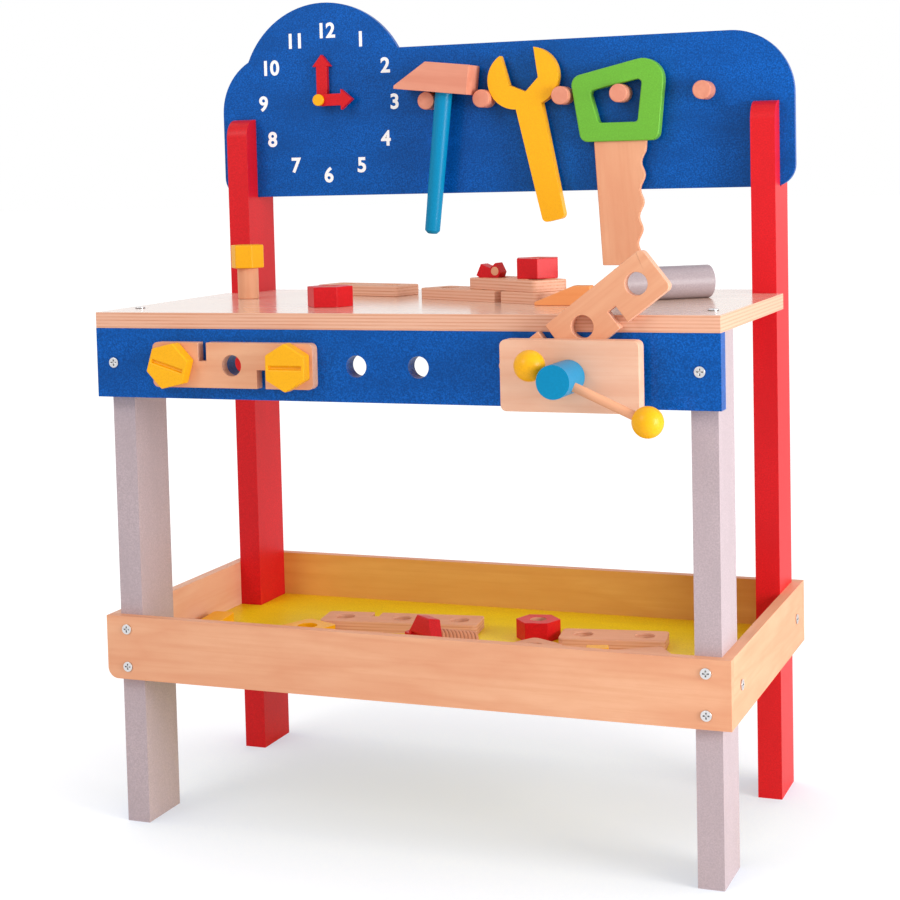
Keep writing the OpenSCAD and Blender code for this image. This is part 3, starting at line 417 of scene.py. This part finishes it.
def second_material(node, rotation):
    """The piece's second material and a test for the faces that carry it, or None twice."""
    if node in PLYWOOD:
        return PLY_EDGE, lambda face: abs(face.normal.dot(rotation[2])) < 0.5
    # the rails' inner faces take the painted ochre bounce light
    if node in PAINTED_BOUNCE_SIDES:
        return TRAY_PAINTED_BOUNCE, lambda face: face.normal.dot(PAINTED_BOUNCE_SIDES[node]) > 0.9
    if node in NUTS:
        low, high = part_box(node)
        middle = (low + high) / 2

        def in_bore(face):
            outwards = face.calc_center_median() - middle
            upright = abs(face.normal.z) < 0.5
            return upright and outwards.xy.dot(face.normal.xy) < 0
        return NUT_BORE, in_bore
    return None, None


def dress(node, bevel_mm, order):
    """Adds a finished piece that stands for one CAD node and rides on its body."""
    bm = clean_copy(node)
    rotation = grain_frame(bm)
    materials = [OWN_MATERIAL.get(node, MATERIALS[slot_of[node]])]
    second, is_second = second_material(node, rotation)
    if second:
        materials.append(second)
        for face in bm.faces:
            face.material_index = int(is_second(face))
    obj = finish_mesh(bm, node + "_piece", materials, bevel_mm, order, rotation)
    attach(obj, body_of[node])
    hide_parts(node)


# How far each piece's edges are rounded, in millimetres
ROUNDING = {
    1.6: ["left_front_leg", "right_front_leg", "left_back_post", "right_back_post"],
    1.2: [
        "front_apron", "tray_front_rail", "tray_back_rail", "tray_left_rail", "tray_right_rail",
        "hammer_head", "wrench", "saw_handle", "vise_jaw", "table_nut", "stacked_nut", "tray_nut",
        "tray_small_nut", "left_apron_bolt_head", "right_apron_bolt_head", "tray_bolt_head",
        "standing_bolt_head", "vise_knob", "grey_cylinder",
    ],
    1.0: [
        "tabletop", "tool_pegs", "apron_strip", "clamped_strip", "table_short_strip",
        "table_long_strip", "table_upper_strip", "tray_long_strip", "tray_near_strip",
        "tray_short_strip", "tray_plate", "yellow_strip", "yellow_bar", "yellow_block",
        "wedge_block", "wing_nut", "standing_bolt_shank", "back_board",
    ],
    0.8: ["clock_minute_hand", "clock_hour_hand", "clock_pin", "saw_blade", "hammer_handle"],
    0.3: [
        "tray_floor", "tabletop_screws", "apron_screws", "tray_rail_screws", "tray_side_screws",
        "vise_handle", "vise_handle_balls", "vise_guide_pins", "vise_screw", "wing_nut_plug",
        "left_apron_bolt_shank", "right_apron_bolt_shank", "tray_bolt_shank",
    ],
}


def dress_all():
    """Dresses every CAD node, in the order of the lists above."""
    order = 0
    for rounding, names in ROUNDING.items():
        for name in names:
            order += 1
            dress(name, rounding, order)


# ---------------------------------------------------------------- clock numerals

NUMERAL_HEIGHT = 14.5 * MM
NUMERAL_RADIUS = 71 * MM
HALF_THICKNESS = 0.1 * MM         # of a figure, whose back lies on the board
CAP_HEIGHT = 0.72                 # a figure's height, as a share of the font's size
BOLDNESS = 0.04                   # how far its outline is pushed out, as a share of its height
RING_SHIFT = Vector((3.9, 0, -2.3)) * MM    # from the hands' pin to the ring's centre
RING_TURN = 1                     # degrees clockwise


def numeral(hour, centre, face_y):
    """One clock numeral on the board, in bold upright figures."""
    curve = bpy.data.curves.new(f"numeral_{hour}", "FONT")
    curve.body = str(hour)
    curve.size = NUMERAL_HEIGHT / CAP_HEIGHT
    curve.offset = NUMERAL_HEIGHT * BOLDNESS
    curve.extrude = HALF_THICKNESS
    curve.resolution_u = 6
    probe = add_object("probe", curve)
    depsgraph = bpy.context.evaluated_depsgraph_get()
    mesh = bpy.data.meshes.new_from_object(probe.evaluated_get(depsgraph))
    bpy.data.objects.remove(probe)
    points = np.array([v.co for v in mesh.vertices])
    middle = Vector((points.min(0) + points.max(0)) / 2)
    angle = math.radians(90 - 30 * hour - RING_TURN)
    place = Vector((
        centre.x + NUMERAL_RADIUS * math.cos(angle),
        face_y - HALF_THICKNESS,
        centre.z + NUMERAL_RADIUS * math.sin(angle),
    ))
    upright = Matrix.Rotation(math.pi / 2, 4, "X")
    mesh.transform(Matrix.Translation(place) @ upright @ Matrix.Translation(-middle))
    mesh.materials.clear()
    mesh.materials.append(NUMERAL_WHITE)
    obj = add_object(f"numeral_{hour}", mesh)
    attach(obj, "bench")


def numerals():
    """The clock's ring of numerals."""
    pin_low, pin_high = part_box("clock_pin")
    face_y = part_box("back_board")[0].y
    centre = (pin_low + pin_high) / 2 + RING_SHIFT
    for hour in range(1, 13):
        numeral(hour, centre, face_y)


# ---------------------------------------------------------------- stage, light, camera

FLOOR_HALF_WIDTH = 30             # metres, so that its edge is never seen
FLOOR_BOUNCE = grey(0.85)         # what the floor throws back at the piece
FLOOR_SEEN = grey(0.42)           # the part of the floor's look that the lamps light
FLOOR_GLOW = grey(0.8)            # the even part of its look, away from the piece
PAINTED_SHADOW_GLOW = (0.43, 0.47, 0.55, 1)    # the same under the piece, as painted shadow: dimmer and cool, against its warm bounce
PAINTED_SHADOW_REACH = 0.95               # metres, how far from the bench the floor's painted shadow reaches


def choose_by_ray(tree, rays, chosen, otherwise, output):
    """Sends one shader to output for the given kinds of ray, and another for all others."""
    path = tree.nodes.new("ShaderNodeLightPath")
    factor = path.outputs[rays[0]]
    for ray in rays[1:]:
        either = tree.nodes.new("ShaderNodeMath")
        either.operation = "MAXIMUM"
        tree.links.new(factor, either.inputs[0])
        tree.links.new(path.outputs[ray], either.inputs[1])
        factor = either.outputs[0]
    choose = tree.nodes.new("ShaderNodeMixShader")
    tree.links.new(factor, choose.inputs["Fac"])
    tree.links.new(otherwise.outputs[0], choose.inputs[1])
    tree.links.new(chosen.outputs[0], choose.inputs[2])
    tree.links.new(choose.outputs[0], output.inputs["Surface"])


def stage():
    """A wide white floor with a soft grey shadow under the bench: partly cast by the lamps on its
    lit part, partly painted into its glow where the bench shuts it in.
    """
    bm = bmesh.new()
    bmesh.ops.create_grid(bm, x_segments=1, y_segments=1, size=FLOOR_HALF_WIDTH)
    mesh = bpy.data.meshes.new("floor")
    bm.to_mesh(mesh)
    bm.free()
    floor = add_object("floor", mesh)
    mat, tree, shader = new_material("floor", roughness=1.0, specular=0.0)
    shader.inputs["Base Color"].default_value = FLOOR_BOUNCE
    lit = tree.nodes.new("ShaderNodeBsdfDiffuse")
    lit.inputs["Color"].default_value = FLOOR_SEEN
    glow = tree.nodes.new("ShaderNodeEmission")
    # painted shadow: the glow dims from white to a cool grey where the bench shuts the floor in
    painted_shadow = ramp(tree, openness(tree, PAINTED_SHADOW_REACH), [(0.42, PAINTED_SHADOW_GLOW), (0.98, FLOOR_GLOW)])
    tree.links.new(painted_shadow, glow.inputs["Color"])
    both = tree.nodes.new("ShaderNodeAddShader")
    tree.links.new(lit.outputs[0], both.inputs[0])
    tree.links.new(glow.outputs[0], both.inputs[1])
    choose_by_ray(tree, ["Is Camera Ray"], both, shader, tree.nodes["Material Output"])
    mesh.materials.append(mat)


def surround(strength):
    """White to the camera and in reflections, and an even soft light on everything else."""
    world = bpy.data.worlds.new("surround")
    bpy.context.scene.world = world
    world.use_nodes = True
    tree = world.node_tree
    tree.nodes.clear()
    out = tree.nodes.new("ShaderNodeOutputWorld")
    lit = tree.nodes.new("ShaderNodeBackground")
    lit.inputs["Color"].default_value = WHITE
    lit.inputs["Strength"].default_value = strength
    seen = tree.nodes.new("ShaderNodeBackground")
    seen.inputs["Color"].default_value = WHITE
    choose_by_ray(tree, ["Is Camera Ray", "Is Glossy Ray"], seen, lit, out)


def softbox(name, place, target, size, watts):
    """A square lamp at place that faces target."""
    light = bpy.data.lights.new(name, "AREA")
    light.size = size
    light.energy = watts
    obj = add_object(name, light)
    obj.location = place
    obj.rotation_euler = (Vector(target) - Vector(place)).to_track_quat("-Z", "Y").to_euler()


# The camera, fitted to the photograph: its place in metres (from the tabletop's front edge in Y),
# its turn in radians and its lens in millimetres
CAMERA_X, CAMERA_FROM_FRONT, CAMERA_Z = 0.61287, 1.45671, 0.58053
CAMERA_YAW, CAMERA_PITCH, CAMERA_ROLL = -0.3877, 0.0714, 0.0252
CAMERA_LENS, CAMERA_SENSOR = 76.36, 36
CAMERA_SHIFT = (0.0476, -0.1567)


def camera():
    """Stands a little above the work surface, in front and to the right."""
    front_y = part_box("tabletop")[0].y
    place = Vector((CAMERA_X, front_y - CAMERA_FROM_FRONT, CAMERA_Z))
    level_ahead = Vector((math.sin(CAMERA_YAW), math.cos(CAMERA_YAW), 0)) * math.cos(CAMERA_PITCH)
    ahead = level_ahead - Vector((0, 0, math.sin(CAMERA_PITCH)))
    level = Vector((math.cos(CAMERA_YAW), -math.sin(CAMERA_YAW), 0))
    down = ahead.cross(level)
    right = math.cos(CAMERA_ROLL) * level + math.sin(CAMERA_ROLL) * down
    below = -math.sin(CAMERA_ROLL) * level + math.cos(CAMERA_ROLL) * down
    data = bpy.data.cameras.new("camera")
    data.sensor_width = CAMERA_SENSOR
    data.lens = CAMERA_LENS
    data.shift_x, data.shift_y = CAMERA_SHIFT
    data.clip_start = 0.05
    data.clip_end = 100
    obj = add_object("camera", data)
    turn = Matrix((right, -below, -ahead)).transposed().to_4x4()
    obj.matrix_world = Matrix.Translation(place) @ turn
    bpy.context.scene.camera = obj


dress_all()
numerals()
stage()
surround(strength=0.73)
softbox("key", place=(-1.1, -1.9, 1.9), target=(0, 0, 0.5), size=0.9, watts=14)
softbox("side", place=(1.7, -0.45, 0.6), target=(0.2, 0, 0.35), size=0.8, watts=25)
camera()
bpy.context.scene.view_settings.view_transform = "Standard"
